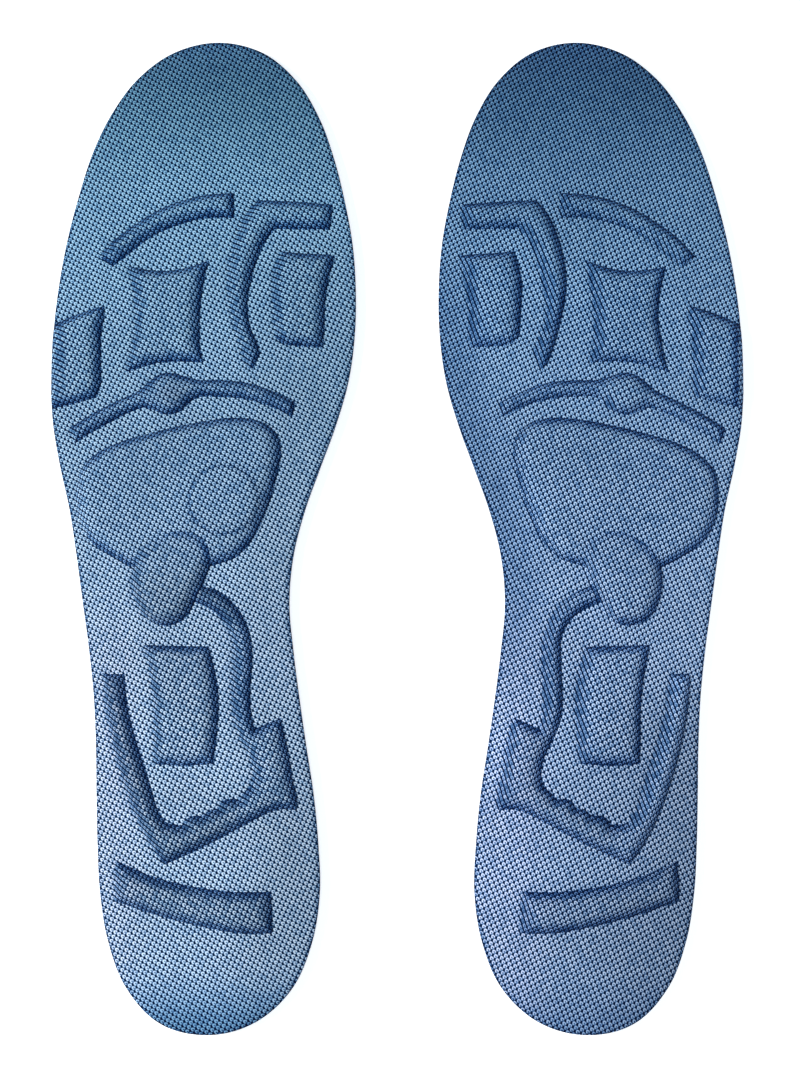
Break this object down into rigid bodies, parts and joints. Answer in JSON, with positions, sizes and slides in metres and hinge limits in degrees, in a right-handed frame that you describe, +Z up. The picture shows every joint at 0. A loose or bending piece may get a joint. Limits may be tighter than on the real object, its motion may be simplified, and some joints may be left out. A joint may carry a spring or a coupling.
{
  "type": "cushioned insole pair",
  "caption": "Pair of full-length cushioned shoe insoles with raised massage pads under a stretch mesh cover, on a foam base with a thin backing cloth.",
  "frame": {"origin": "floor level, midway between the two insoles and midway along their length", "axes": "+Y towards the toes, +X towards the right insole, +Z up from the backing cloth to the mesh cover"},
  "size_m": [0.186, 0.2665, 0.0077],
  "materials": {
    "mesh_cloth": "stretch mesh knit, matt",
    "board_foam": "closed-cell foam, matt",
    "pad_foam": "soft foam, matt",
    "backing_cloth": "non-slip felted cloth, matt"
  },
  "bodies": {
    "left_rearfoot": {"left_backing_rear": "backing_cloth", "left_foam_base_rear": "board_foam", "left_metatarsal_dome_pad": "pad_foam", "left_midfoot_button_pad": "pad_foam", "left_arch_heel_frame_pad": "pad_foam", "left_heel_center_pad": "pad_foam", "left_heel_crescent_pad": "pad_foam", "left_top_cover_rear": "mesh_cloth"},
    "left_forefoot": {"left_backing_fore": "backing_cloth", "left_foam_base_fore": "board_foam", "left_toe_arc_pad": "pad_foam", "left_toe_hook_pad": "pad_foam", "left_first_ray_pad": "pad_foam", "left_center_forefoot_pad": "pad_foam", "left_lateral_forefoot_pad": "pad_foam", "left_metatarsal_bar_pad": "pad_foam", "left_top_cover_fore": "mesh_cloth"},
    "right_rearfoot": {"right_backing_rear": "backing_cloth", "right_foam_base_rear": "board_foam", "right_metatarsal_dome_pad": "pad_foam", "right_midfoot_button_pad": "pad_foam", "right_arch_heel_frame_pad": "pad_foam", "right_heel_center_pad": "pad_foam", "right_heel_crescent_pad": "pad_foam", "right_top_cover_rear": "mesh_cloth"},
    "right_forefoot": {"right_backing_fore": "backing_cloth", "right_foam_base_fore": "board_foam", "right_toe_arc_pad": "pad_foam", "right_toe_hook_pad": "pad_foam", "right_first_ray_pad": "pad_foam", "right_center_forefoot_pad": "pad_foam", "right_lateral_forefoot_pad": "pad_foam", "right_metatarsal_bar_pad": "pad_foam", "right_top_cover_fore": "mesh_cloth"}
  },
  "joints": [
    {"name": "left_forefoot_flex", "type": "hinge", "parent": "left_rearfoot", "child": "left_forefoot", "pos_m": [-0.0522, 0.0245, 0.0078], "axis": [1, 0, 0], "range_deg": [0, 45], "stiffness_Nm_per_rad": 0.04},
    {"name": "right_forefoot_flex", "type": "hinge", "parent": "right_rearfoot", "child": "right_forefoot", "pos_m": [0.0522, 0.0245, 0.0078], "axis": [1, 0, 0], "range_deg": [0, 45], "stiffness_Nm_per_rad": 0.04},
    {"name": "right_insole_slide", "type": "slide", "parent": "left_rearfoot", "child": "right_rearfoot", "axis": [1, 0, 0], "range_m": [0, 0.06]}
  ]
}
